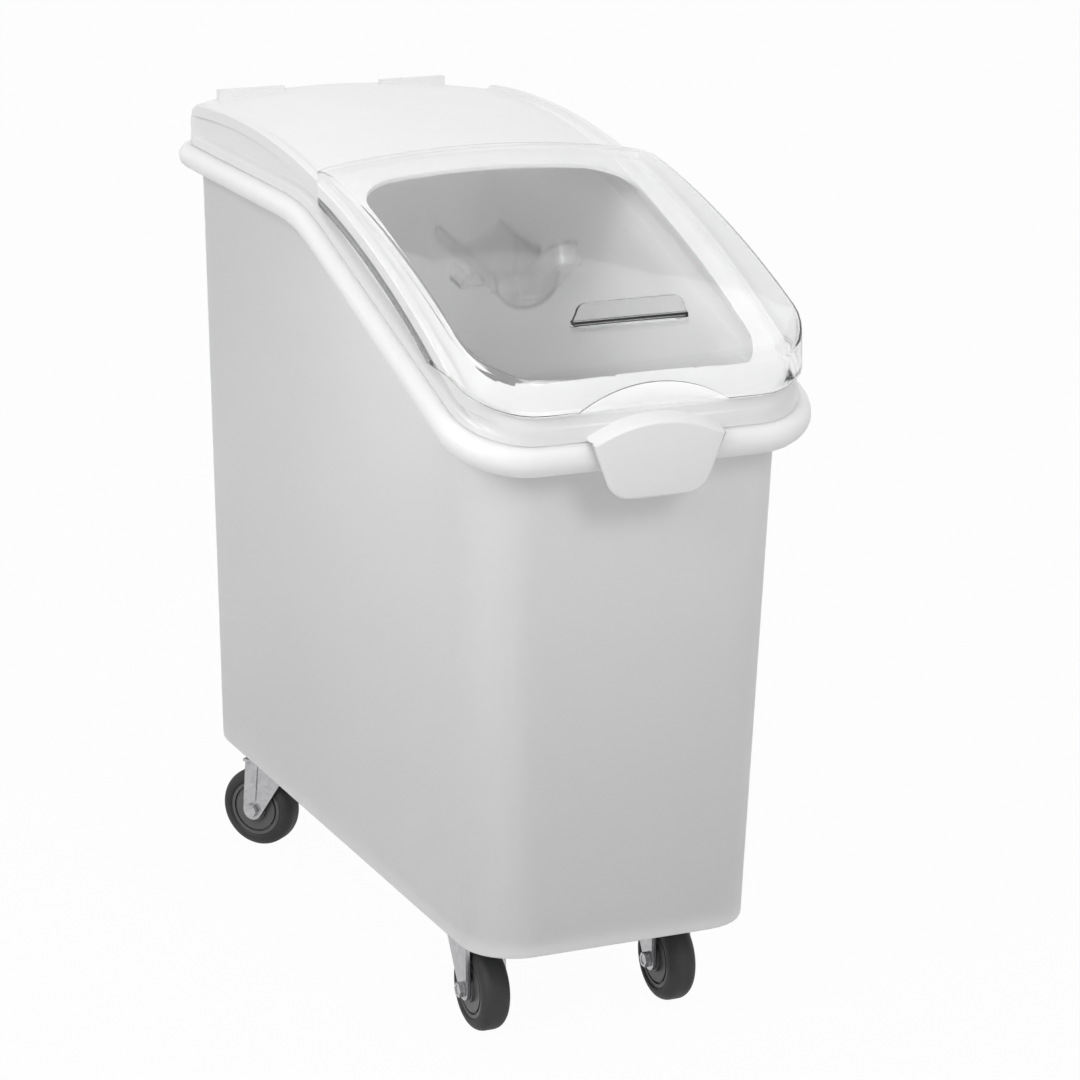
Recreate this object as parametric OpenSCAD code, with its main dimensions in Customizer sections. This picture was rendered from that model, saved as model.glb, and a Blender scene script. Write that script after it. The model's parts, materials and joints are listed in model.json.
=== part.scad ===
// Rolling flour bin: a wheeled tub with a sloping front, a white lid frame
// that covers its rear half, a clear lid that slides back over that cover,
// a scoop on its hook inside, and four swivel casters.
// Ground at z = 0, front towards -Y, origin under the middle of the rim.

/* [Tub] */
// Width of the bin across its rim roll
bin_w = 330; // [318:1:342]
// Depth of the bin across its rim roll
bin_d = 730; // [716:1:744]
// Height of the level rear part of the rim
rim_z = 679; // [671:1:687]
// Slope of the rim towards the front, in degrees
rim_slope = 18.8; // [18.2:0.1:19.4]
// Wall thickness of the tub
wall_t = 4; // [3:0.5:5]
// Thickness of the tub's floor
floor_t = 5; // [4:0.5:7]
// Height of the rolled rim at the rear
roll_h = 21.5; // [19:0.5:24]

/* [Lid] */
// Thickness of the lid frame's wall
frame_t = 3.2; // [2.8:0.1:3.6]
// Thickness of the clear lid
lid_t = 3; // [2.6:0.1:3.4]
// Rise of the cover's crown at the middle
crown_h = 12; // [9.5:0.5:13]
// Height of the grip tab on the clear lid
tab_h = 16.5; // [13:0.5:20]
// Width of the pull handle at the front
pull_w = 118; // [108:1:124]

/* [Casters] */
// Height of the head of the casters above the wheels
caster_rise = 21.5; // [20:0.5:24]
// Diameter of a wheel
wheel_d = 76; // [72:1:78]
// Width of a wheel
wheel_w = 26; // [24:1:28]
// Distance from the swivel axis to the wheel's axle
trail = 25; // [23:1:27]
// Diameter of the axle bolt
axle_d = 8; // [7:0.5:9]

/* [Scoop] */
// Length of the scoop's bowl
bowl_l = 160; // [150:1:166]
// Radius of the scoop's bowl
bowl_r = 33; // [30:1:34]
// Thickness of the scoop's wall
bowl_t = 2.4; // [2:0.1:3]

/* [Hidden] */

// Overrun of a cut past the face it opens
over = floor_t / 5;
// Gap between pieces that rest on or run past each other
seat_gap = frame_t * 0.1;
// Running clearance on a radius
run_gap = axle_d / 160;

// Steps of an outline: a corner, a long side and a short end
corner_steps = 8;
side_steps = 22;
end_steps = 7;

// Outline of the lid frame's band, which the other outlines follow
band_w = bin_w * 0.4636;
band_d = bin_d * 0.4904;
band_r = bin_w * 0.17;
// Corner radius of the rim roll
roll_r = bin_w * 0.194;

// Outline of the tub under its roll, and at its floor
top_w = bin_w * 0.432;
top_front = -bin_d * 0.4548;
top_rear = bin_d * 0.4795;
top_r = bin_w * 0.15;
floor_w = bin_w * 0.392;
floor_front = -bin_d * 0.4377;
floor_rear = bin_d * 0.4753;
floor_r = bin_w * 0.145;
floor_edge = floor_t * 0.7;
inner_edge = floor_t * 2;

// Knee of the rim, where its level part meets the slope
knee_y = bin_d * 0.029;
knee_half = bin_d * 0.055;
// Height of the rim at a depth, with the knee as a parabola
function rim_at(y) =
  let(t = tan(rim_slope), s = knee_y + knee_half - y)
  s <= 0 ? rim_z : s >= 2 * knee_half ? rim_z - t * (knee_y - y) : rim_z - t * s * s / (4 * knee_half);

// Arc of the track, which the cover, its rails and the clear lid share
track_y = bin_d * 0.2685;
track_top = rim_z + bin_w * 0.1;
track_lift_share = 0.45;
front_rim = rim_at(-band_d);
track_drop = track_top - front_rim - frame_t * track_lift_share;
track_reach = band_d + track_y;
track_r = (track_reach * track_reach + track_drop * track_drop) / (2 * track_drop);
track_z = track_top - track_r;
// Height of the arc at a depth, with a rise measured from its centre
function track_at(y, rise = 0) = track_z + sqrt(pow(track_r + rise, 2) - pow(y - track_y, 2));

function lerp(a, b, t) = a + (b - a) * t;
function smooth(t) = let(c = min(1, max(0, t))) c * c * (3 - 2 * c);

// Closed outline of a rounded rectangle, counter-clockwise from the front right
function corner(c, r, a) =
  [for (i = [0:corner_steps]) c + r * [cos(a + 90 * i / corner_steps), sin(a + 90 * i / corner_steps)]];
function between(p, q, n) = [for (i = [1:n]) p + (q - p) * i / (n + 1)];
function outline(w, front, rear, r) =
  let(
    fr = corner([w - r, front + r], r, -90),
    rr = corner([w - r, rear - r], r, 0),
    rl = corner([r - w, rear - r], r, 90),
    fl = corner([r - w, front + r], r, 180),
    e = corner_steps
  )
  concat(
    fr, between(fr[e], rr[0], side_steps), rr, between(rr[e], rl[0], end_steps),
    rl, between(rl[e], fl[0], side_steps), fl, between(fl[e], fr[0], end_steps)
  );
function band(o) = outline(band_w + o, -band_d - o, band_d + o, band_r + o);

// Stations of the band with their outward directions: heights are read there
band_plan = band(0);
band_normals = (band(over) - band_plan) / over;
station_y = [for (p = band_plan) p[1]];
stations = len(station_y);

// Skin over rings of equal length: side faces, and a cap on the first and last
// ring or a last strip back to the first ring
module skin(rings, closed = false) {
  n = len(rings[0]);
  m = len(rings);
  strips = closed ? m : m - 1;
  sides = [for (j = [0:strips - 1]) for (i = [0:n - 1])
    let(a = j * n + i, b = j * n + (i + 1) % n, c = ((j + 1) % m) * n + i, d = ((j + 1) % m) * n + (i + 1) % n)
    each [[a, c, b], [b, c, d]]];
  last = (m - 1) * n;
  caps = closed ? [] : [for (i = [0:n - 1]) let(j = (i + 1) % n)
    each [[m * n, i, j], [m * n + 1, last + j, last + i]]];
  middles = closed ? [] : [[0, 0, rings[0][0][2]], [0, 0, rings[m - 1][0][2]]];
  polyhedron(points = concat([for (r = rings) each r], middles), faces = concat(sides, caps), convexity = 10);
}

// Ring at an outline with a height for each station
function ring(plan, heights) = [for (i = [0:stations - 1]) [plan[i][0], plan[i][1], heights[i]]];
function level(z) = [for (i = [0:stations - 1]) z];
function rim_heights(dz) = [for (y = station_y) rim_at(y) + dz];
function mix(a, b, t) = [for (i = [0:stations - 1]) lerp(a[i], b[i], t)];

// Tub
caster_h = wheel_d + caster_rise;
tub_floor = caster_h;
function floor_plan(o) = outline(floor_w - o, floor_front + o, floor_rear - o, floor_r - o);
function top_plan(o) = outline(top_w - o, top_front + o, top_rear - o, top_r - o);
roll_plan = outline(bin_w / 2, -bin_d / 2, bin_d / 2, roll_r);
under_share = 0.45;
roll_front_share = 1.27;
roll_steps = 5;
half_root = sqrt(0.5);
roll_heights = [for (y = station_y)
  roll_h * lerp(1, roll_front_share, smooth((knee_y - y) / (knee_y + band_d)))];

// Height below the rim by a share of the roll's height
function under_rim(share) = [for (i = [0:stations - 1]) rim_at(station_y[i]) - roll_heights[i] * share];

// Places of the casters, and the heading of each wheel's trail in degrees
caster_x = bin_w * 0.2667;
caster_front = -bin_d * 0.274;
caster_rear = bin_d * 0.3466;
caster_places = [
  [-caster_x, caster_front, 0], [caster_x, caster_front, 0],
  [-caster_x, caster_rear, 0], [caster_x, caster_rear, 0]
];
caster_turns = [270, 270, 128, 290];

// Mounting plate and its bolts
plate_t = wheel_d * 0.04;
plate_l = wheel_d;
plate_b = wheel_d * 0.79;
plate_r = wheel_d * 0.08;
bolt_d = axle_d * 0.75;
bolt_dx = plate_b * 0.37;
bolt_dy = plate_l * 0.39;

module at_bolts() {
  for (c = caster_places)
    translate(c)
      for (sx = [-1, 1])
        for (sy = [-1, 1])
          translate([sx * bolt_dx, sy * bolt_dy, 0])
            children();
}

module tub() {
  outer = [
    ring(floor_plan(floor_edge), level(tub_floor)),
    ring(floor_plan(floor_edge * (1 - half_root)), level(tub_floor + floor_edge * (1 - half_root))),
    ring(floor_plan(0), level(tub_floor + floor_edge)),
    ring(top_plan(0), under_rim(1)),
  ];
  under_plan = mix(top_plan(0), roll_plan, under_share);
  roll = concat(
    [for (i = [0:roll_steps]) let(a = -90 + 90 * i / roll_steps)
      ring(mix(under_plan, roll_plan, cos(a)), under_rim(0.5 - sin(a) / 2))],
    [for (i = [1:roll_steps]) let(a = 90 * i / roll_steps)
      ring(mix(band_plan, roll_plan, cos(a)), under_rim(0.5 - sin(a) / 2))]
  );
  inner = [
    ring(top_plan(wall_t), rim_heights(0)),
    ring(floor_plan(wall_t), level(tub_floor + floor_t + inner_edge)),
    ring(floor_plan(wall_t + inner_edge * (1 - half_root)), level(tub_floor + floor_t + inner_edge * (1 - half_root))),
    ring(floor_plan(wall_t + inner_edge), level(tub_floor + floor_t)),
  ];
  color("whitesmoke")
    difference() {
      skin(concat(outer, roll, inner));
      translate([0, 0, tub_floor - over])
        at_bolts()
          cylinder(d = bolt_d + 2 * run_gap, h = floor_t + 2 * over, $fn = 24);
    }
}

// Lid frame: how far a depth lies in its front part
front_at = -band_d * 0.845;
front_span = band_d * 0.155;
function front_share(y) = smooth((front_at - y) / front_span);
rail_end = band_d * 0.85;
rear_at = band_d * 0.83;
rear_span = band_d * 0.05;
function end_share(y) = max(front_share(y), smooth((y - rear_at) / rear_span));

band_h = bin_w * 0.023;
ledge_h = bin_w * 0.0275;
groove_in = bin_w * 0.0235;
lip_in = bin_w * 0.006;
rail_h = bin_w * 0.0333;
rail_w = bin_w * 0.02;
cover_h = bin_w * 0.019;
front_h = bin_w * 0.0545;
front_lip_h = bin_w * 0.0333;
front_cover_h = bin_w * 0.0485;
edge_r = frame_t * 0.45;
rail_in = lip_in + rail_w;
cover_in = rail_in + edge_r;
cover_half = band_w - cover_in;
front_squeeze_share = 0.5;
groove_lip_share = 0.9;

open_w = bin_w * 0.382;
open_front = -bin_d * 0.4288;
open_rear = -bin_d * 0.0315;
open_r = bin_w * 0.121;
open_plan = outline(open_w, open_front, open_rear, open_r);
cover_steps = 7;

// Height of the cover's top, with its crown over the rear half
crown_fade = bin_d * 0.165;
function crown_at(x) = crown_h * max(0, 1 - pow(x / cover_half, 2));
function cover_at(x, y) =
  track_at(y, lerp(cover_h, front_cover_h, front_share(y)))
  + crown_at(x) * smooth(1 + (y - open_rear) / crown_fade);
function lip_at(y) = track_at(y, front_lip_h * front_share(y));
function rail_at(p, y) =
  y > rail_end ? cover_at(p[0], p[1]) : track_at(y, lerp(rail_h, front_h, front_share(y)));

// Outline of the band set in by one value at the sides and another at the ends
function inset(side_in, end_in) =
  [for (i = [0:stations - 1]) band_plan[i] - band_normals[i] * lerp(side_in, end_in, end_share(station_y[i]))];

module frame_shell() {
  all = [0:stations - 1];
  squeeze = [for (y = station_y) lerp(1, front_squeeze_share, front_share(y))];
  low = rim_heights(seat_gap);
  band_top = [for (i = all) rim_at(station_y[i]) + band_h * squeeze[i]];
  ledge = [for (i = all) rim_at(station_y[i]) + ledge_h * squeeze[i]];
  groove_low = [for (i = all) ledge[i] + edge_r * squeeze[i]];
  lip = [for (y = station_y) lip_at(y)];
  groove_top = [for (z = lip) z - edge_r];
  rail_plan = inset(rail_in, rail_in);
  rail_top = [for (i = all) rail_at(rail_plan[i], station_y[i])];
  rail_side = [for (z = rail_top) z - edge_r];
  cover_plan = inset(cover_in, cover_in);
  under_plan = inset(cover_in + frame_t, cover_in + frame_t);
  inner_in = groove_in + frame_t;
  cover_rings = [for (k = [0:cover_steps]) [for (p = mix(cover_plan, open_plan, k / cover_steps))
    [p[0], p[1], cover_at(p[0], p[1])]]];
  under_rings = [for (k = [cover_steps:-1:0]) [for (p = mix(under_plan, open_plan, k / cover_steps))
    [p[0], p[1], cover_at(p[0], p[1]) - frame_t]]];
  skin(concat(
    [
      ring(inset(frame_t, frame_t), low),
      ring(inset(0, 0), low),
      ring(inset(0, 0), band_top),
      ring(inset(edge_r, 0), ledge),
      ring(inset(groove_in * groove_lip_share, 0), groove_low),
      ring(inset(groove_in, 0), mix(groove_low, groove_top, 0.5)),
      ring(inset(groove_in * groove_lip_share, 0), groove_top),
      ring(inset(lip_in, edge_r / 2), lip),
      ring(inset(lip_in, edge_r), rail_side),
      ring(inset(lip_in + edge_r, edge_r * 2), rail_top),
      ring(rail_plan, rail_top)
    ],
    cover_rings,
    under_rings,
    [
      ring(inset(inner_in, frame_t * 1.3), groove_top),
      ring(inset(inner_in, frame_t * 1.2), groove_low),
      ring(inset(frame_t + edge_r, frame_t * 1.1), mix(low, band_top, 0.7))
    ]
  ), closed = true);
}

// Low stop bars at the rear edge of the cover
stop_in = bin_w * 0.147;
stop_out = bin_w * 0.3455;
stop_y = band_d * 0.9637;
stop_l = frame_t * 2.2;
stop_h = frame_t * 1.2;

module stop_bar() {
  z0 = cover_at(stop_in, stop_y);
  z1 = cover_at(stop_out, stop_y);
  translate([0, stop_y, 0])
    rotate([90, 0, 0])
      linear_extrude(height = stop_l, center = true)
        polygon([
          [stop_in, z0 - frame_t / 2], [stop_out, z1 - frame_t / 2],
          [stop_out, z0 + stop_h], [stop_in, z0 + stop_h]
        ]);
}

// Arched cut-out in the front wall of the clear lid, over the pull handle
arch_half = bin_w * 0.2;
arch_rise = bin_w * 0.06;
arch_r = (arch_half * arch_half + arch_rise * arch_rise) / (2 * arch_rise);

// Pull handle: a shield-shaped plate in front of the roll, and an arched saddle
// that joins its top to the band
pull_t = frame_t * 1.1;
pull_y = -bin_d / 2 - pull_t * 2;
pull_low = front_rim - roll_h * 2.23;
pull_side = front_rim + roll_h * 0.05;
pull_corner_r = pull_w * 0.19;
pull_foot = pull_w * 0.4;
pull_sweep = 68;
saddle_z = front_rim + roll_h * 0.9;
saddle_y = -band_d;
saddle_tilt = 18;
saddle_r = arch_r * 1.05;
saddle_back = band_d * 0.05;
cover_tilt = asin((band_d + track_y) / track_r);
arc_steps = 8;

module pull_outline(set_in) {
  half = pull_w / 2 - set_in;
  foot = [pull_foot - pull_corner_r, pull_low + pull_corner_r];
  low = [for (i = [0:arc_steps]) let(a = -90 + pull_sweep * i / arc_steps)
    foot + (pull_corner_r - set_in) * [cos(a), sin(a)]];
  right = concat(low, [[half, pull_side], [half, saddle_z + saddle_back]]);
  polygon(concat(right, [for (i = [len(right) - 1:-1:0]) [-right[i][0], right[i][1]]]));
}

module pull_prism(y0, y1, set_in = 0) {
  translate([0, y1, 0])
    rotate([90, 0, 0])
      linear_extrude(height = y1 - y0)
        pull_outline(set_in);
}

// Round of the saddle, whose axis leans down towards the front
module saddle_round(r) {
  translate([0, saddle_y, saddle_z])
    rotate([90 + saddle_tilt, 0, 0])
      translate([0, -saddle_r, -pull_w])
        cylinder(r = r, h = 2 * pull_w, $fn = 160);
}

module pull_handle() {
  reach = 2 * (saddle_back - pull_y - band_d);
  roll_top = front_rim + seat_gap * 4;
  intersection() {
    saddle_round(saddle_r);
    difference() {
      pull_prism(pull_y, saddle_y + saddle_back);
      intersection() {
        saddle_round(saddle_r - pull_t);
        pull_prism(pull_y + pull_t, saddle_y, pull_t);
      }
      translate([-pull_w, pull_y + pull_t, pull_low - over])
        cube([2 * pull_w, reach, roll_top - pull_low + over]);
      translate([-pull_w, saddle_y + frame_t / 2, cover_at(0, saddle_y) - frame_t])
        rotate([cover_tilt, 0, 0])
          translate([0, 0, -reach])
            cube([2 * pull_w, reach, reach]);
    }
  }
}

module lid_frame() {
  color("white")
    union() {
      frame_shell();
      stop_bar();
      mirror([1, 0, 0])
        stop_bar();
      pull_handle();
    }
}

// Clear lid: rows of sections from its rear edge to its front wall
lid_out = bin_w * 0.0073;
lid_rear = bin_d * 0.0096;
lid_under_h = rail_h + seat_gap * 4;
lid_rise_mid = bin_w * 0.079;
lid_rise_front = bin_w * 0.14;
lid_rise_y = -bin_d * 0.045;
lid_rise_end = -bin_d * 0.4288;
lid_edge_r = lid_t * 2;
lid_front_r = lid_t * 3.4;
lid_draft = lid_t * 0.3;
lid_rear_r = bin_w * 0.09;
hook_low = bin_w * 0.0155;
hook_in = bin_w * 0.0167;
hook_rear = lid_rear - lid_t * 4;
hook_front = -band_d * 0.7235;
hook_none = lid_t * 0.06;
front_low_h = bin_w * 0.0636;
front_crown_share = 0.25;
lid_corner_x = band_w - band_r;
lid_corner_y = band_r - band_d;
lid_corner_r = band_r + lid_out;
lid_front = lid_corner_y - lid_corner_r;
lid_steps = 12;
lid_corner_steps = 9;
lid_edge_steps = 4;
lid_cross_steps = 8;

// Rise of the lid's shoulder over the track, its height and its lower edge
function lid_rise(y) =
  y > lid_rise_y
  ? lerp(lid_under_h + lid_t, lid_rise_mid, smooth((lid_rear - y) / (lid_rear - lid_rise_y)))
  : lerp(lid_rise_mid, lid_rise_front, min(1, (lid_rise_y - y) / (lid_rise_y - lid_rise_end)));
function lid_top(y) =
  let(d = min(lid_front_r, max(0, lid_front + lid_front_r - y)))
  track_at(y, lid_rise(y)) - lid_front_r + sqrt(lid_front_r * lid_front_r - d * d);
function lid_low(y) =
  track_at(y, y > lid_corner_y
    ? lerp(-hook_low, lid_under_h, max(0, (hook_front - y) / (hook_front - lid_corner_y)))
    : lerp(lid_under_h, front_low_h, (lid_corner_y - y) / (lid_corner_y - lid_front)));
function hook_at(y) = y < hook_front ? hook_none : hook_in - lid_t + lid_out;
function lid_crown(x, w, y) =
  crown_h * (1 - x * x / (w * w))
  * lerp(1, front_crown_share, smooth((lid_rise_y - y) / (lid_rise_y - lid_rise_end)));

// Half section from the foot to the middle, with a thickness taken off
function lid_half(w, y, low, off) =
  let(r = lid_edge_r - off, edge = w - lid_draft - r, z = lid_top(y) - off)
  concat(
    [[w, low]],
    [for (i = [0:lid_edge_steps]) let(a = 90 * i / lid_edge_steps) [edge + r * cos(a), z - r + r * sin(a)]],
    [for (i = [1:lid_cross_steps]) let(x = edge * (1 - i / lid_cross_steps)) [x, z + lid_crown(x, edge, y)]]
  );
function hooked(half, hook) =
  let(w = half[0][0], low = half[0][1])
  concat(
    [[w - hook, low], [w - hook, low + lid_t], [w, low + lid_t + hook_none]],
    [for (i = [1:len(half) - 1]) half[i]]
  );
function both(half) = concat(half, [for (i = [len(half) - 2:-1:0]) [-half[i][0], half[i][1]]]);

// One row: the outer section one way and the inner section back
function lid_row(w, y, w_in, y_in) =
  let(
    low = lid_low(y),
    outer = both(lid_half(w, y, low, 0)),
    inner = both(hooked(lid_half(w_in, y_in, low, lid_t), hook_at(y)))
  )
  concat(
    [for (p = outer) [p[0], y, p[1]]],
    [for (i = [len(inner) - 1:-1:0]) [inner[i][0], y_in, inner[i][1]]]
  );

module lid_shell() {
  side_y = concat(
    [for (i = [0:lid_steps]) lerp(lid_rear, hook_front, i / lid_steps)],
    [hook_front - lid_t, lerp(hook_front, lid_corner_y, 0.5)]
  );
  w = lid_corner_x + lid_corner_r;
  rows = concat(
    [for (y = side_y) lid_row(w, y, w - lid_t, y)],
    [for (i = [0:lid_corner_steps])
      let(a = 90 * i / lid_corner_steps, r = lid_corner_r, q = lid_corner_r - lid_t)
      lid_row(
        lid_corner_x + r * cos(a), lid_corner_y - r * sin(a),
        lid_corner_x + q * cos(a), lid_corner_y - q * sin(a)
      )]
  );
  n = len(rows[0]);
  m = len(rows);
  k = len(both(lid_half(w, 0, 0, 0)));
  last = (m - 1) * n;
  sides = [for (j = [0:m - 2]) for (i = [0:n - 1])
    let(a = j * n + i, b = j * n + (i + 1) % n, c = a + n, d = b + n)
    each [[a, c, b], [b, c, d]]];
  h = n - k;
  rear = concat(
    [[0, n - 2, n - 1], [0, n - 3, n - 2], [k - 1, k, k + 1], [k - 1, k + 1, k + 2]],
    [for (i = [0:k - 2]) let(a = n - 3 - i) each [[i, i + 1, a], [i + 1, a - 1, a]]]
  );
  front = [for (i = [0:k - 1]) [m * n, last + (i + 1) % k, last + i]];
  back = [for (i = [0:h - 1]) [m * n + 1, last + k + (i + 1) % h, last + k + i]];
  middle_z = (lid_low(lid_front) + lid_top(lid_front)) / 2;
  middles = [[0, lid_front, middle_z], [0, lid_front + lid_t, middle_z]];
  foot = [last + n - 1, last + k, last + k - 1, last];
  polyhedron(
    points = concat([for (r = rows) each r], middles),
    faces = concat(sides, rear, front, back, [foot]),
    convexity = 10
  );
}

// Grip tab on the lid
tab_y = -bin_d * 0.4247;
tab_half = bin_w * 0.1545;
tab_top_half = bin_w * 0.145;
tab_r = tab_h * 0.55;
tab_t = lid_t * 1.1;
tab_foot_t = lid_t * 2.4;
tab_foot_h = lid_t * 0.7;
tab_sink = lid_t * 0.8;

module lid_tab() {
  z = lid_top(tab_y) + lid_crown(0, tab_half, tab_y);
  corner_at = [tab_top_half - tab_r, z + tab_h - tab_r];
  right = concat(
    [[tab_half, z - tab_sink], [tab_half, z + tab_foot_h]],
    [for (i = [0:arc_steps]) let(a = 10 + 80 * i / arc_steps) corner_at + tab_r * [cos(a), sin(a)]]
  );
  translate([0, tab_y + tab_t / 2, 0])
    rotate([90, 0, 0])
      linear_extrude(height = tab_t)
        polygon(concat(right, [for (i = [len(right) - 1:-1:0]) [-right[i][0], right[i][1]]]));
  translate([-tab_half, tab_y - tab_foot_t / 2, z - tab_sink])
    cube([2 * tab_half, tab_foot_t, tab_sink + tab_foot_h]);
}

module sliding_lid() {
  w = lid_corner_x + lid_corner_r;
  rear_under = lid_top(lid_rear) - lid_t - seat_gap;
  hook_under = lid_top(hook_rear) - lid_t - seat_gap;
  hook_foot = lid_low(hook_rear) - lid_t;
  color("lightgrey", 0.5)
    union() {
      difference() {
        lid_shell();
        translate([0, lid_front - over, lid_low(lid_front) + arch_rise - arch_r])
          rotate([-90, 0, 0])
            cylinder(r = arch_r, h = lid_t * 2 + over, $fn = 160);
        translate([-w - over, 0, 0])
          rotate([90, 0, 90])
            linear_extrude(height = 2 * (w + over))
              polygon([
                [hook_rear, hook_foot], [lid_rear + over, hook_foot],
                [lid_rear + over, rear_under], [hook_rear, hook_under]
              ]);
        for (s = [-1, 1])
          translate([s * (w - lid_rear_r), lid_rear - lid_rear_r, rear_under - lid_rear_r])
            difference() {
              translate([s > 0 ? 0 : -lid_rear_r - over, 0, 0])
                cube([lid_rear_r + over, lid_rear_r + over, lid_rear_r * 3]);
              translate([0, 0, -over])
                cylinder(r = lid_rear_r, h = lid_rear_r * 3 + 2 * over, $fn = 96);
            }
      }
      lid_tab();
    }
}

// Inner face of the side wall at a height
function wall_at(z) =
  let(z0 = tub_floor + floor_t + inner_edge)
  lerp(floor_w, top_w, (z - z0) / (rim_z - z0)) - wall_t;

// Scoop, and the cradle that holds it to the right wall
scoop_y = bin_d * 0.1507;
scoop_z = rim_z * 0.8476;
scoop_tilt = 9.5;
scoop_gap = bowl_t * 1.7;
scoop_x = wall_at(scoop_z) - scoop_gap - bowl_r;
grip_tilt = 39.5;
grip_l = bowl_l * 0.62;
grip_w = bowl_r * 0.78;
grip_h = bowl_r * 0.62;
mouth_tilt = 32;
cradle_t = wall_t * 0.75;
cradle_l = bowl_l * 0.16;
cradle_at = bowl_l * 0.5;

module at_scoop() {
  translate([scoop_x, scoop_y, scoop_z])
    rotate([scoop_tilt, 0, 0])
      children();
}

module trough(r, y0, y1) {
  translate([0, y1, 0])
    rotate([90, 0, 0])
      cylinder(r = r, h = y1 - y0, $fn = 96);
}

// Plan of the hollow grip, round at its free end
module grip_plan(off) {
  half = grip_w / 2 - off;
  end = off > 0 ? -off : grip_h / 2;
  translate([0, half + off - grip_l, 0])
    circle(r = half, $fn = 64);
  translate([-half, grip_w / 2 - grip_l, 0])
    square([2 * half, grip_l - grip_w / 2 + end]);
}

module scoop() {
  far = 3 * bowl_l;
  color("lightcyan", 0.5)
    at_scoop() {
      difference() {
        trough(bowl_r, 0, bowl_l);
        trough(bowl_r - bowl_t, bowl_t, bowl_l + over);
        translate([-far / 2, -over, 0])
          cube([far, far, far]);
        translate([-far / 2, bowl_l, -bowl_r])
          rotate([mouth_tilt, 0, 0])
            translate([0, 0, -far / 2])
              cube([far, far, far]);
      }
      difference() {
        rotate([-grip_tilt, 0, 0])
          translate([0, 0, -grip_h])
            difference() {
              linear_extrude(height = grip_h)
                grip_plan(0);
              translate([0, 0, -over])
                linear_extrude(height = grip_h - bowl_t + over)
                  grip_plan(bowl_t);
            }
        translate([-far / 2, bowl_t / 2, -far / 2])
          cube([far, far, far]);
        translate([-far / 2, -over, 0])
          cube([far, far, far]);
      }
    }
}

// Cradle on the right wall, under the bowl
module scoop_hook() {
  y0 = scoop_y + cradle_at;
  z1 = scoop_z + cradle_at * sin(scoop_tilt);
  z0 = z1 - bowl_r - 2 * cradle_t;
  tip = bowl_r + seat_gap;
  color("white")
    union() {
      translate([0, y0 + cradle_l, 0])
        rotate([90, 0, 0])
          linear_extrude(height = 2 * cradle_l)
            polygon([
              [wall_at(z0) - seat_gap, z0], [wall_at(z1) - seat_gap, z1],
              [wall_at(z1) - seat_gap - cradle_t, z1], [wall_at(z0) - seat_gap - cradle_t, z0]
            ]);
      at_scoop()
        translate([0, cradle_at - cradle_l / 2, -bowl_r - seat_gap - cradle_t]) {
          translate([-tip - cradle_t, 0, 0])
            cube([tip + 2 * cradle_t - scoop_x + wall_at(z0) - seat_gap - cradle_t, cradle_l, cradle_t]);
          translate([-tip - cradle_t, 0, 0])
            cube([cradle_t, cradle_l, bowl_r * 0.5]);
        }
    }
}

// Casters: a plate and king pin on the tub, a fork that turns, a wheel that rolls
race_h = wheel_d * 0.08;
race_r = wheel_d * 0.25;
race_bore = wheel_d * 0.12;
fork_t = wheel_d * 0.033;
fork_gap = wheel_w / 2 + wheel_w * 0.08;
fork_top = caster_h - plate_t - race_h;
fork_edge = trail + wheel_d * 0.13;
fork_back = wheel_d * 0.24;
fork_eye_r = wheel_d * 0.13;
rib_t = fork_t * 0.5;
rib_w = wheel_d * 0.09;
fork_lean = wheel_d * 0.035;
pin_r = axle_d * 0.65;
pin_head_r = axle_d * 1.2;
pin_head_h = axle_d * 0.4;
axle_r = axle_d / 2;
bush_r = axle_d * 0.75;
hub_r = wheel_d * 0.345;
hub_half = wheel_w * 0.44;
boss_r = axle_d * 1.5;
boss_half = fork_gap - seat_gap * 2;
hub_groove_r = wheel_d * 0.28;
hub_groove_out = wheel_d * 0.307;
hub_groove_h = wheel_w * 0.09;
tyre_half = wheel_w / 2;
tyre_r = (wheel_d / 2 - hub_r) * 0.78;
head_r = axle_d * 0.85;
head_h = axle_d * 0.55;
nut_h = axle_d * 0.65;
wheel_z = wheel_d / 2;
bolt_head_r = bolt_d * 0.95;
bolt_head_h = bolt_d * 0.4;
plate_nut_r = bolt_d * 0.9;
plate_nut_h = race_h * 0.75;

module at_caster(i) {
  translate(caster_places[i])
    rotate([0, 0, caster_turns[i]])
      children();
}

// Wheel axle direction, from the middle of the wheel
module at_axle(i) {
  at_caster(i)
    translate([trail, 0, wheel_z])
      rotate([-90, 0, 0])
        children();
}

module plate_bolts() {
  color("silver")
    at_bolts() {
      translate([0, 0, tub_floor + floor_t + seat_gap])
        cylinder(r = bolt_head_r, h = bolt_head_h, $fn = 32);
      translate([0, 0, caster_h - plate_t - plate_nut_h])
        cylinder(d = bolt_d, h = plate_t + plate_nut_h + floor_t + seat_gap + bolt_head_h / 2, $fn = 24);
    }
}

module plate_nuts() {
  color("silver")
    at_bolts()
      translate([0, 0, caster_h - plate_t - plate_nut_h])
        difference() {
          cylinder(r = plate_nut_r, h = plate_nut_h - seat_gap, $fn = 6);
          translate([0, 0, -over])
            cylinder(r = bolt_d / 2 + run_gap, h = plate_nut_h + 2 * over, $fn = 24);
        }
}

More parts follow.
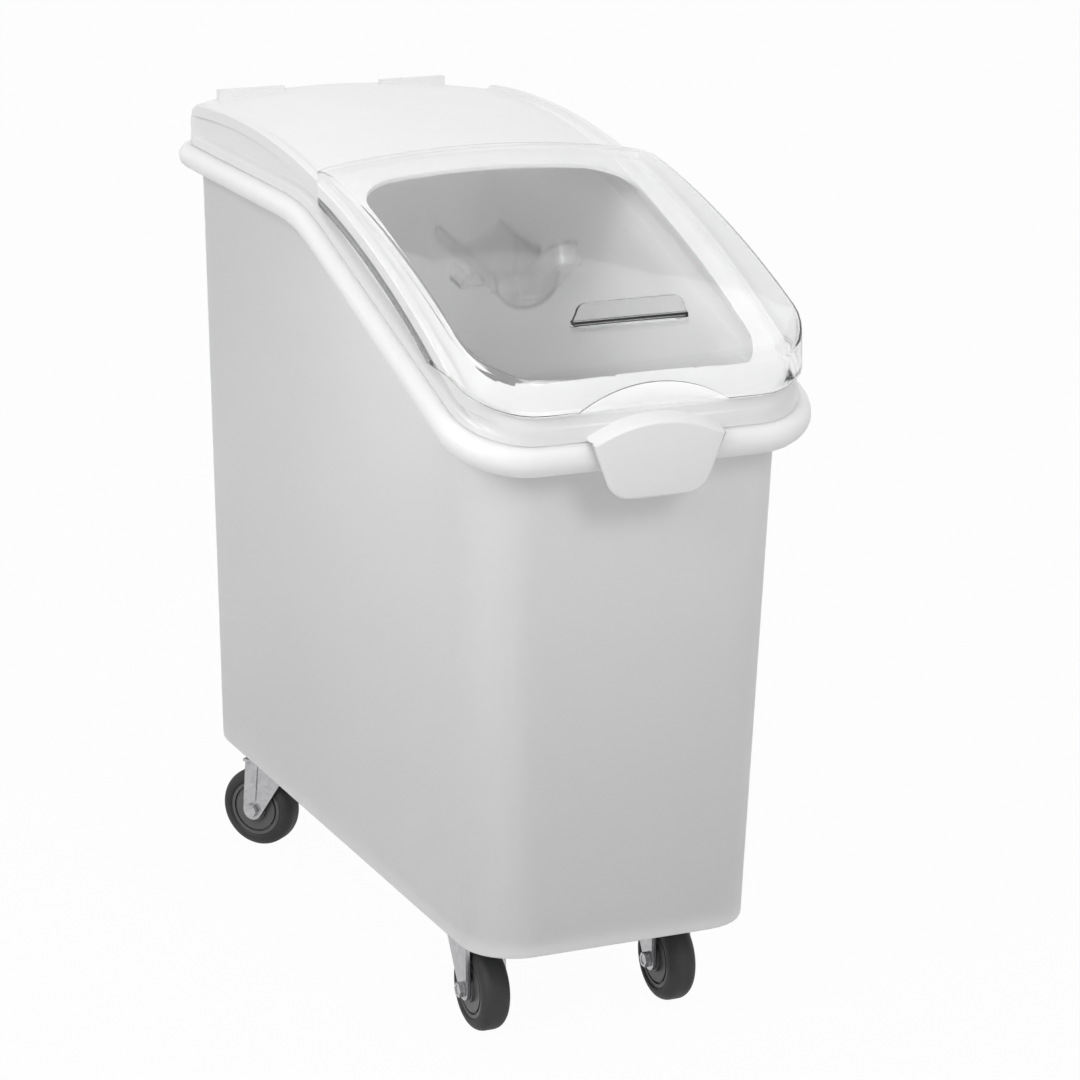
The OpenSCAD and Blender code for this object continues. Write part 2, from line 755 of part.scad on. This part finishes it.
module caster_plate(i) {
  l = plate_l / 2 - plate_r;
  b = plate_b / 2 - plate_r;
  color("gainsboro")
    translate(caster_places[i])
      translate([0, 0, caster_h - plate_t])
        difference() {
          linear_extrude(height = plate_t - seat_gap)
            difference() {
              union() {
                square([2 * b, plate_l], center = true);
                square([plate_b, 2 * l], center = true);
                for (sx = [-1, 1])
                  for (sy = [-1, 1])
                    translate([sx * b, sy * l])
                      circle(r = plate_r, $fn = 32);
              }
              for (sx = [-1, 1])
                for (sy = [-1, 1])
                  translate([sx * bolt_dx, sy * bolt_dy])
                    circle(r = bolt_d / 2 + run_gap, $fn = 24);
            }
          translate([0, 0, -over])
            cylinder(r = pin_r + run_gap, h = plate_t + 2 * over, $fn = 48);
        }
}

module caster_race(i) {
  color("dimgrey")
    translate(caster_places[i])
      translate([0, 0, fork_top + seat_gap])
        difference() {
          cylinder(r = race_r, h = race_h - 2 * seat_gap, $fn = 64);
          translate([0, 0, -over])
            cylinder(r = race_bore, h = race_h + 2 * over, $fn = 48);
        }
}

module king_pin(i) {
  color("silver")
    translate(caster_places[i]) {
      translate([0, 0, fork_top - fork_t - seat_gap - pin_head_h])
        cylinder(r = pin_head_r, h = pin_head_h, $fn = 48);
      translate([0, 0, fork_top - fork_t - seat_gap - pin_head_h / 2])
        cylinder(r = pin_r, h = caster_h - seat_gap - fork_top + fork_t + seat_gap + pin_head_h / 2, $fn = 48);
    }
}

// Tangent point on the eye of the fork's leg from its top rear corner
eye_to = [-fork_back - trail, fork_top - wheel_z];
eye_turn = atan2(eye_to[1], eye_to[0]) + acos(fork_eye_r / norm(eye_to));

module fork_leg() {
  linear_extrude(height = fork_t)
    difference() {
      union() {
        circle(r = fork_eye_r, $fn = 64);
        polygon([
          [fork_edge - trail, 0], [fork_edge - trail - fork_lean, fork_top - wheel_z],
          eye_to, fork_eye_r * [cos(eye_turn), sin(eye_turn)]
        ]);
      }
      circle(r = axle_r + run_gap, $fn = 48);
    }
  translate([0, 0, -rib_t])
    linear_extrude(height = rib_t * 2)
      polygon([
        [-rib_w * 0.6, fork_eye_r], [rib_w * 1.3, fork_eye_r],
        [rib_w * 1.3 - fork_lean, (fork_top - wheel_z) * 0.94], [-rib_w * 0.6 - fork_lean, (fork_top - wheel_z) * 0.94]
      ]);
}

module caster_fork(i) {
  color("lightgrey")
    at_caster(i)
      union() {
        for (s = [0, 1])
          mirror([0, s, 0])
            translate([trail, fork_gap + fork_t, wheel_z])
              rotate([90, 0, 0])
                fork_leg();
        translate([0, 0, fork_top - fork_t])
          linear_extrude(height = fork_t)
            difference() {
              translate([-fork_back, -fork_gap - fork_t])
                square([fork_edge + fork_back, 2 * (fork_gap + fork_t)]);
              circle(r = pin_r + run_gap, $fn = 48);
            }
      }
}

module axle_bolt(i) {
  shaft = 2 * (fork_gap + fork_t + seat_gap) + nut_h * 1.3;
  color("silver")
    at_axle(i) {
      translate([0, 0, fork_gap + fork_t + seat_gap])
        cylinder(r = head_r, h = head_h, $fn = 6);
      translate([0, 0, fork_gap + fork_t + seat_gap + head_h / 2 - shaft])
        cylinder(r = axle_r, h = shaft, $fn = 48);
    }
}

module axle_nut(i) {
  color("silver")
    at_axle(i)
      translate([0, 0, -fork_gap - fork_t - seat_gap - nut_h])
        difference() {
          cylinder(r = head_r, h = nut_h, $fn = 6);
          translate([0, 0, -over])
            cylinder(r = axle_r + run_gap, h = nut_h + 2 * over, $fn = 48);
        }
}

module wheel_bush(i) {
  half = fork_gap - seat_gap;
  color("tan")
    at_axle(i)
      translate([0, 0, -half])
        difference() {
          cylinder(r = bush_r, h = 2 * half, $fn = 48);
          translate([0, 0, -over])
            cylinder(r = axle_r + run_gap, h = 2 * (half + over), $fn = 48);
        }
}

module wheel_hub(i) {
  half = [
    [bush_r + run_gap, boss_half], [boss_r, boss_half], [boss_r, hub_half],
    [hub_groove_r, hub_half], [hub_groove_r, hub_half - hub_groove_h],
    [hub_groove_out, hub_half - hub_groove_h], [hub_groove_out, hub_half], [hub_r - run_gap, hub_half]
  ];
  color("grey")
    at_axle(i)
      rotate_extrude($fn = 96)
        polygon(concat(half, [for (k = [len(half) - 1:-1:0]) [half[k][0], -half[k][1]]]));
}

module wheel_tyre(i) {
  out = wheel_d / 2;
  half = concat(
    [[hub_r, hub_half], [hub_r + tyre_r * 0.2, tyre_half]],
    [for (k = [0:arc_steps]) let(a = 90 * k / arc_steps)
      [out - tyre_r + tyre_r * sin(a), tyre_half - tyre_r + tyre_r * cos(a)]]
  );
  color("dimgrey")
    at_axle(i)
      rotate_extrude($fn = 96)
        polygon(concat(half, [for (k = [len(half) - 1:-1:0]) [half[k][0], -half[k][1]]]));
}

tub();
lid_frame();
sliding_lid();
scoop_hook();
scoop();
plate_bolts();
plate_nuts();
caster_plate(0);  // front_left_plate
caster_race(0);  // front_left_race
king_pin(0);  // front_left_king_pin
caster_fork(0);  // front_left_fork
axle_bolt(0);  // front_left_axle_bolt
axle_nut(0);  // front_left_axle_nut
wheel_bush(0);  // front_left_bush
wheel_hub(0);  // front_left_hub
wheel_tyre(0);  // front_left_tyre
caster_plate(1);  // front_right_plate
caster_race(1);  // front_right_race
king_pin(1);  // front_right_king_pin
caster_fork(1);  // front_right_fork
axle_bolt(1);  // front_right_axle_bolt
axle_nut(1);  // front_right_axle_nut
wheel_bush(1);  // front_right_bush
wheel_hub(1);  // front_right_hub
wheel_tyre(1);  // front_right_tyre
caster_plate(2);  // rear_left_plate
caster_race(2);  // rear_left_race
king_pin(2);  // rear_left_king_pin
caster_fork(2);  // rear_left_fork
axle_bolt(2);  // rear_left_axle_bolt
axle_nut(2);  // rear_left_axle_nut
wheel_bush(2);  // rear_left_bush
wheel_hub(2);  // rear_left_hub
wheel_tyre(2);  // rear_left_tyre
caster_plate(3);  // rear_right_plate
caster_race(3);  // rear_right_race
king_pin(3);  // rear_right_king_pin
caster_fork(3);  // rear_right_fork
axle_bolt(3);  // rear_right_axle_bolt
axle_nut(3);  // rear_right_axle_nut
wheel_bush(3);  // rear_right_bush
wheel_hub(3);  // rear_right_hub
wheel_tyre(3);  // rear_right_tyre
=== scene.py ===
# %% [markdown]
# # A rolling flour bin
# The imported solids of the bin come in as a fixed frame: a white tub on four casters, a white lid frame,
# a clear lid that slides back on two rails, and a clear scoop that hangs inside.
# This lesson gives every piece its finish, smooths the moulded shells, and sets up plain studio light.

# %% Load the frame
import json
import math
import bpy
import bmesh
from mathutils import Matrix, Vector


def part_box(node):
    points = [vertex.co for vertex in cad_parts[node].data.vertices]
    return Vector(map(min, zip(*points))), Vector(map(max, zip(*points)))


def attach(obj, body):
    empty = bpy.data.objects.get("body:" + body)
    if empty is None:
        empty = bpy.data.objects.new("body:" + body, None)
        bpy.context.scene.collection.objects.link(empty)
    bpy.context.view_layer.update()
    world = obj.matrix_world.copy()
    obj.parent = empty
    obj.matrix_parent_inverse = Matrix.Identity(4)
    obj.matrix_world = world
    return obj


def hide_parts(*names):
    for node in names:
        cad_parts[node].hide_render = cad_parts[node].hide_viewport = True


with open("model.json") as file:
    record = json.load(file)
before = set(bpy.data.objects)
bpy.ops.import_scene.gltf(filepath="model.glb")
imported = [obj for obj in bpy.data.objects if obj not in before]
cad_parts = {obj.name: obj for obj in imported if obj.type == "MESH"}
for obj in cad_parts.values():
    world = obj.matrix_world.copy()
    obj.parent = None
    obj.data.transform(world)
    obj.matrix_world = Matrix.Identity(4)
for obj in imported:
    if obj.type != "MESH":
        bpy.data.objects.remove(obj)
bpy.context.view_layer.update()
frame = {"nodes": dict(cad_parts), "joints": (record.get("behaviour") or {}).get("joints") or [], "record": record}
nodes = frame["nodes"]
slot_of = {s["node"]: s["material_slot"] for s in frame["record"]["subparts"]}
print("solids loaded:", len(nodes))

# %% [markdown]
# ## Shared effects
# Moulded plastic, rubber and plated steel are never one flat colour. They share three faint effects:
# a fine grain, soft smudges from handling, and a mottle of larger patches.
# Each effect is a node group, built once, which puts out only a value that changes over the surface.
# The groups read Object coordinates, so the pattern stays on the piece when it moves.

# %% Node groups for grain, smudges and spangle
def new_group(name, inputs, outputs):
    group = bpy.data.node_groups.new(name, "ShaderNodeTree")
    for label, kind, value in inputs:
        socket = group.interface.new_socket(label, in_out="INPUT", socket_type=kind)
        if value is not None:
            socket.default_value = value
    for label in outputs:
        group.interface.new_socket(label, in_out="OUTPUT", socket_type="NodeSocketFloat")
    return group, group.nodes.new("NodeGroupInput"), group.nodes.new("NodeGroupOutput")


def noise_node(group, source, scale, detail, roughness=0.5):
    node = group.nodes.new("ShaderNodeTexNoise")
    node.inputs["Detail"].default_value = detail
    node.inputs["Roughness"].default_value = roughness
    group.links.new(source.outputs["Vector"], node.inputs["Vector"])
    group.links.new(source.outputs[scale], node.inputs["Scale"])
    return node


def make_grain():
    group, source, sink = new_group("fine_grain", [
        ("Vector", "NodeSocketVector", None), ("Scale", "NodeSocketFloat", 900.0)], ["Height"])
    noise = noise_node(group, source, "Scale", 2.0)
    group.links.new(noise.outputs["Fac"], sink.inputs["Height"])
    return group


def make_smudges():
    group, source, sink = new_group("handling_smudges", [
        ("Vector", "NodeSocketVector", None), ("Scale", "NodeSocketFloat", 7.0)], ["Mask"])
    noise = noise_node(group, source, "Scale", 5.0, 0.62)
    ramp = group.nodes.new("ShaderNodeMapRange")
    ramp.inputs["From Min"].default_value = 0.38
    ramp.inputs["From Max"].default_value = 0.68
    group.links.new(noise.outputs["Fac"], ramp.inputs["Value"])
    group.links.new(ramp.outputs["Result"], sink.inputs["Mask"])
    return group


def make_spangle():
    group, source, sink = new_group("plating_spangle", [
        ("Vector", "NodeSocketVector", None), ("Scale", "NodeSocketFloat", 260.0)], ["Mask"])
    cells = group.nodes.new("ShaderNodeTexVoronoi")
    group.links.new(source.outputs["Vector"], cells.inputs["Vector"])
    group.links.new(source.outputs["Scale"], cells.inputs["Scale"])
    grey = group.nodes.new("ShaderNodeRGBToBW")
    group.links.new(cells.outputs["Color"], grey.inputs["Color"])
    group.links.new(grey.outputs["Val"], sink.inputs["Mask"])
    return group


grain, smudges, spangle = make_grain(), make_smudges(), make_spangle()
print("effects:", [g.name for g in (grain, smudges, spangle)])

# %% [markdown]
# ## Finishes
# One helper lays out every finish in the same way: a mask mixes two close colours, the same mask moves the
# roughness a little, and the grain feeds a Bump node. Values that are the same all over the piece,
# such as metallic or transmission, are set straight on the shader.
# Clear plastic casts almost no shadow, and a second helper lets most of the lamps' light through it.

# %% The finish helper
def effect(material, group, coords, scale):
    node = material.node_tree.nodes.new("ShaderNodeGroup")
    node.node_tree = group
    node.inputs["Scale"].default_value = scale
    material.node_tree.links.new(coords.outputs["Object"], node.inputs["Vector"])
    return node


def finish(name, dark, light, rough, mottle=smudges, mottle_scale=7.0, grain_scale=900.0, bump=0.05,
           bump_mm=0.05, **constant):
    material = bpy.data.materials.new(name)
    material.use_nodes = True
    tree = material.node_tree
    shader = tree.nodes["Principled BSDF"]
    coords = tree.nodes.new("ShaderNodeTexCoord")
    patches = effect(material, mottle, coords, mottle_scale)
    mask = patches.outputs["Mask"]
    tint = tree.nodes.new("ShaderNodeMix")
    tint.data_type = "RGBA"
    tint.inputs["A"].default_value = (*dark, 1)
    tint.inputs["B"].default_value = (*light, 1)
    tree.links.new(mask, tint.inputs["Factor"])
    tree.links.new(tint.outputs["Result"], shader.inputs["Base Color"])
    spread = tree.nodes.new("ShaderNodeMapRange")
    spread.inputs["To Min"].default_value = rough[0]
    spread.inputs["To Max"].default_value = rough[1]
    tree.links.new(mask, spread.inputs["Value"])
    tree.links.new(spread.outputs["Result"], shader.inputs["Roughness"])
    fine = effect(material, grain, coords, grain_scale)
    relief = tree.nodes.new("ShaderNodeBump")
    relief.inputs["Strength"].default_value = bump
    relief.inputs["Distance"].default_value = bump_mm / 1000
    tree.links.new(fine.outputs["Height"], relief.inputs["Height"])
    tree.links.new(relief.outputs["Normal"], shader.inputs["Normal"])
    for label, value in constant.items():
        shader.inputs[label.replace("_", " ")].default_value = value
    return material


def let_light_through(material, share):
    tree = material.node_tree
    path = tree.nodes.new("ShaderNodeLightPath")
    shade = tree.nodes.new("ShaderNodeMath")
    shade.operation = "MULTIPLY_ADD"
    shade.inputs[1].default_value = -share
    shade.inputs[2].default_value = 1.0
    tree.links.new(path.outputs["Is Shadow Ray"], shade.inputs[0])
    tree.links.new(shade.outputs[0], tree.nodes["Principled BSDF"].inputs["Alpha"])


# %% [markdown]
# ## The finishes of this bin
# The tub is satin moulded polyethylene, a soft neutral white that lets a little light through its walls.
# The lid frame is the same white but smoother.
# The lid, scoop and cradle are clear plastic with faint handling marks. The casters are plated pressed steel
# with grey plastic wheel centres and dark rubber treads.

# %% Make the finishes
clear = dict(Transmission_Weight=1.0, IOR=1.47, Metallic=0.0)
cloudy = dict(clear, Transmission_Weight=0.85)
finishes = {
    "tub_white": finish("tub_white", (0.925, 0.925, 0.925), (0.94, 0.94, 0.94), (0.5, 0.42),
                        mottle_scale=5.0, grain_scale=1100.0, bump=0.12, bump_mm=0.1,
                        Subsurface_Weight=1.0, Subsurface_Scale=0.028, Subsurface_Radius=(1.0, 1.0, 1.0)),
    "frame_white": finish("frame_white", (0.775, 0.775, 0.775), (0.795, 0.795, 0.795), (0.36, 0.28),
                          mottle_scale=6.0, grain_scale=1300.0, bump=0.06, bump_mm=0.08),
    "clear_plastic": finish("clear_plastic", (0.865, 0.87, 0.87), (0.89, 0.89, 0.89), (0.03, 0.07),
                            mottle_scale=9.0, grain_scale=300.0, bump=0.01, Specular_IOR_Level=0.35, **clear),
    # Painted shade: this dark copy of the clear plastic colours the lid's cut edges and stands in for the darkness
    # of clear plastic seen edge-on.
    "clear_edge_painted_shade": finish("clear_edge_painted_shade", (0.2, 0.205, 0.205), (0.3, 0.305, 0.305), (0.06, 0.14),
                         mottle_scale=30.0, grain_scale=500.0, bump=0.03, **clear),
    "scoop_clear": finish("scoop_clear", (0.96, 0.965, 0.965), (0.985, 0.985, 0.985), (0.03, 0.07),
                          mottle_scale=14.0, grain_scale=400.0, bump=0.02, **cloudy),
    "hook_clear": finish("hook_clear", (0.94, 0.945, 0.945), (0.98, 0.98, 0.98), (0.06, 0.12),
                         mottle_scale=18.0, grain_scale=500.0, bump=0.02, **clear),
    "zinc_steel": finish("zinc_steel", (0.4, 0.4, 0.41), (0.5, 0.5, 0.51), (0.34, 0.26), mottle=spangle,
                         mottle_scale=240.0, grain_scale=1500.0, bump=0.05, Metallic=1.0),
    "race_steel": finish("race_steel", (0.045, 0.045, 0.047), (0.09, 0.09, 0.092), (0.45, 0.32),
                         mottle=spangle, mottle_scale=300.0, grain_scale=1500.0, bump=0.05, Metallic=1.0),
    "bush_nylon": finish("bush_nylon", (0.55, 0.55, 0.53), (0.6, 0.6, 0.58), (0.5, 0.4), mottle_scale=40.0),
    "hub_grey": finish("hub_grey", (0.085, 0.085, 0.087), (0.105, 0.105, 0.107), (0.5, 0.4),
                       mottle_scale=26.0, grain_scale=1200.0, bump=0.1),
    "tyre_rubber": finish("tyre_rubber", (0.016, 0.016, 0.017), (0.026, 0.026, 0.027), (0.7, 0.58),
                          mottle_scale=22.0, grain_scale=1600.0, bump=0.25, bump_mm=0.1),
}
for name, share in (("clear_plastic", 0.8), ("scoop_clear", 0.95), ("hook_clear", 1.0)):
    let_light_through(finishes[name], share)
for name, node in nodes.items():
    node.data.materials.clear()
    node.data.materials.append(finishes[slot_of[name]])
print("finishes:", len(finishes))

# %% [markdown]
# ## Smooth shells
# The tub, lid frame and clear lid are lofted shells, and they arrive as small flat facets.
# Light on a satin wall would show each one, so the shells are welded and shaded smooth here,
# with the real creases kept sharp. The shape stays the CAD shape, except that the rim of the
# pull plate's face is rounded over, as on a moulded plate.

# %% Weld and shade the tub and the lid frame
weld = 0.00002
crease = math.radians(32)
plate_round = 0.0026


# The optional second material is the painted edge shade, used only on the clear lid.
def smooth_shell(node_name, body, edge_painted_shade=None, shape=None):
    mesh = bpy.data.meshes.new(node_name + "_shell")
    bm = bmesh.new()
    bm.from_mesh(nodes[node_name].data)
    bmesh.ops.remove_doubles(bm, verts=bm.verts, dist=weld)
    bmesh.ops.recalc_face_normals(bm, faces=bm.faces)
    if shape:
        shape(bm)
    for face in bm.faces:
        face.smooth = True
    for edge in bm.edges:
        edge.smooth = edge.calc_face_angle(math.pi) < crease
    bm.to_mesh(mesh)
    bm.free()
    mesh.materials.append(finishes[slot_of[node_name]])
    if edge_painted_shade:
        mesh.materials.append(finishes[edge_painted_shade])
    shell = bpy.data.objects.new(node_name + "_shell", mesh)
    bpy.context.scene.collection.objects.link(shell)
    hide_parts(node_name)
    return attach(shell, body)


def round_plate(bm):
    front = min(v.co.y for v in bm.verts)
    flat = [f for f in bm.faces if f.normal.y < -0.99 and f.calc_center_median().y < front + 0.0002]
    face = bmesh.ops.dissolve_faces(bm, faces=flat)["region"][0]
    bmesh.ops.bevel(bm, geom=list(face.edges), offset=plate_round, segments=4, profile=0.5, affect="EDGES")


for node_name, body, shape in (("tub", "bin", None), ("lid_frame", "frame", round_plate)):
    shell = smooth_shell(node_name, body, shape=shape)
    print(shell.name, len(shell.data.polygons), "faces")

# %% [markdown]
# ## The clear lid's edges
# Looked at edge-on, clear plastic looks dark: light runs along the sheet and little of it comes out at the rim.
# The lid's cut edges are its hooks under the rails, its rear edge, its lower edge at the front,
# the arch over the handle and the foot of the grip tab. Their faces are picked by place and direction,
# and get a dark colour, which is painted shade standing in for that edge-on darkness, not a finish of the plastic.
# A narrow bevel takes the sharpness off their rims, and its faces get the same painted shade.
# Heights are measured from the arc that the lid slides on, whose centre is the axis of its joint.

# %% Smooth the lid and pick its edges
slide = next(j for j in frame["joints"] if j["name"] == "lid_slide")
arc_y, arc_z = slide["pos_m"][1], slide["pos_m"][2]
lid_low, lid_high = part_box("sliding_lid")
track = 1.0356
tab_y, tab_foot = -0.310, 0.6345
arch_half = 0.068
rim_bevel = 0.0011
sharp = math.radians(40)


def lid_edge(place, normal):
    rise = math.hypot(place.y - arc_y, place.z - arc_z) - track
    hook = rise < -0.0015
    rear = place.y > lid_high.y - 0.002 and normal.y > 0.8
    front = place.y < -0.255 and rise < 0.024 and normal.z < -0.5
    arch = place.y < lid_low.y + 0.003 and abs(normal.y) < 0.5 and abs(place.x) < arch_half and rise < 0.045
    tab = abs(place.y - tab_y) < 0.008 and tab_foot < place.z < tab_foot + 0.006 and abs(normal.z) < 0.7
    return hook or rear or front or arch or tab


def mark_edges(bm):
    # The picked edge faces and the new bevel faces take material 1, the painted edge shade.
    dark = {f for f in bm.faces if lid_edge(f.calc_center_median(), f.normal)}
    for face in dark:
        face.material_index = 1
    rims = [e for e in bm.edges if len(dark.intersection(e.link_faces)) == 1
            and e.calc_face_angle(0) > sharp]
    bmesh.ops.bevel(bm, geom=rims, offset=rim_bevel, segments=1, affect="EDGES",
                    clamp_overlap=True, material=1)


lid = smooth_shell("sliding_lid", "lid", "clear_edge_painted_shade", mark_edges)
print(lid.name, sum(p.material_index for p in lid.data.polygons), "edge faces of", len(lid.data.polygons))

# %% [markdown]
# ## Floor, light and camera
# The bin stands on a plain pale floor in front of a white background. Three soft panels light it,
# from above, from the left and from the front. The floor and the background are white for the camera,
# in mirror images and through clear plastic. To the pieces themselves they give only their soft light.

# %% Floor
def background_rays(tree):
    path = tree.nodes.new("ShaderNodeLightPath")
    mirrored = tree.nodes.new("ShaderNodeMath")
    mirrored.operation = "MAXIMUM"
    tree.links.new(path.outputs["Is Glossy Ray"], mirrored.inputs[0])
    tree.links.new(path.outputs["Is Transmission Ray"], mirrored.inputs[1])
    seen = tree.nodes.new("ShaderNodeMath")
    seen.operation = "MAXIMUM"
    tree.links.new(path.outputs["Is Camera Ray"], seen.inputs[0])
    tree.links.new(mirrored.outputs[0], seen.inputs[1])
    return seen


def pale_floor():
    bm = bmesh.new()
    bmesh.ops.create_grid(bm, x_segments=1, y_segments=1, size=30)
    mesh = bpy.data.meshes.new("floor")
    bm.to_mesh(mesh)
    bm.free()
    floor = bpy.data.objects.new("floor", mesh)
    bpy.context.scene.collection.objects.link(floor)
    material = bpy.data.materials.new("pale_floor")
    material.use_nodes = True
    tree = material.node_tree
    shader = tree.nodes["Principled BSDF"]
    shader.inputs["Base Color"].default_value = (0.55, 0.55, 0.55, 1)
    shader.inputs["Roughness"].default_value = 0.8
    seen = background_rays(tree)
    share = tree.nodes.new("ShaderNodeMath")
    share.operation = "MULTIPLY"
    share.inputs[1].default_value = 0.97
    tree.links.new(seen.outputs[0], share.inputs[0])
    white = tree.nodes.new("ShaderNodeEmission")
    blend = tree.nodes.new("ShaderNodeMixShader")
    tree.links.new(share.outputs[0], blend.inputs["Fac"])
    tree.links.new(shader.outputs["BSDF"], blend.inputs[1])
    tree.links.new(white.outputs["Emission"], blend.inputs[2])
    tree.links.new(blend.outputs["Shader"], tree.nodes["Material Output"].inputs["Surface"])
    mesh.materials.append(material)
    return floor


print("floor:", pale_floor().name)

# %% World and lights
def white_world(strength):
    world = bpy.data.worlds.new("studio")
    bpy.context.scene.world = world
    world.use_nodes = True
    tree = world.node_tree
    soft = tree.nodes["Background"]
    soft.inputs["Color"].default_value = (1, 1, 1, 1)
    soft.inputs["Strength"].default_value = strength
    white = tree.nodes.new("ShaderNodeBackground")
    white.inputs["Color"].default_value = (1, 1, 1, 1)
    seen = background_rays(tree)
    blend = tree.nodes.new("ShaderNodeMixShader")
    tree.links.new(seen.outputs[0], blend.inputs["Fac"])
    tree.links.new(soft.outputs["Background"], blend.inputs[1])
    tree.links.new(white.outputs["Background"], blend.inputs[2])
    tree.links.new(blend.outputs["Shader"], tree.nodes["World Output"].inputs["Surface"])


def soft_panel(name, place, aim, size, watts):
    data = bpy.data.lights.new(name, "AREA")
    data.shape = "RECTANGLE"
    data.size, data.size_y = size
    data.energy = watts
    panel = bpy.data.objects.new(name, data)
    panel.location = place
    panel.rotation_euler = (Vector(aim) - Vector(place)).to_track_quat("-Z", "Y").to_euler()
    bpy.context.scene.collection.objects.link(panel)
    return panel


white_world(0.49)
soft_panel("top_panel", (0.1, 0.3, 3.2), (0, 0.1, 0.6), (3.0, 3.0), 19)
soft_panel("left_panel", (-2.9, -1.2, 2.4), (0, 0, 0.45), (1.7, 1.7), 57)
soft_panel("front_panel", (0.6, -3.0, 2.6), (0, 0, 0.5), (1.2, 1.2), 35)

# %% [markdown]
# The camera stands in front of the bin's left corner and a little above it, with a long lens,
# so that upright edges stay nearly parallel. Its three angles, distance and lens give its matrix directly.

# %% Camera
def place_camera(azimuth, elevation, roll, distance, lens, aside, aim):
    a, e, r = (math.radians(v) for v in (azimuth, elevation, roll))
    back = Vector((math.sin(a) * math.cos(e), -math.cos(a) * math.cos(e), math.sin(e)))
    right = Vector((math.cos(a), math.sin(a), 0))
    up = back.cross(right)
    right, up = right * math.cos(r) + up * math.sin(r), up * math.cos(r) - right * math.sin(r)
    data = bpy.data.cameras.new("camera")
    data.sensor_fit = "HORIZONTAL"
    data.sensor_width = 36
    data.lens = lens
    data.clip_end = 100
    camera = bpy.data.objects.new("camera", data)
    turn = Matrix((right, up, back)).transposed()
    place = Vector(aim) + right * aside[0] + up * aside[1] + back * distance
    camera.matrix_world = Matrix.Translation(place) @ turn.to_4x4()
    bpy.context.scene.collection.objects.link(camera)
    bpy.context.scene.camera = camera
    return camera


camera = place_camera(-24.454, 16.213, 0.67, 3.5717, 133.37, (0.05838, 0.00561), (0, 0, 0.36))
bpy.context.scene.view_settings.view_transform = "Standard"
print("camera at", [round(v, 3) for v in camera.matrix_world.translation])
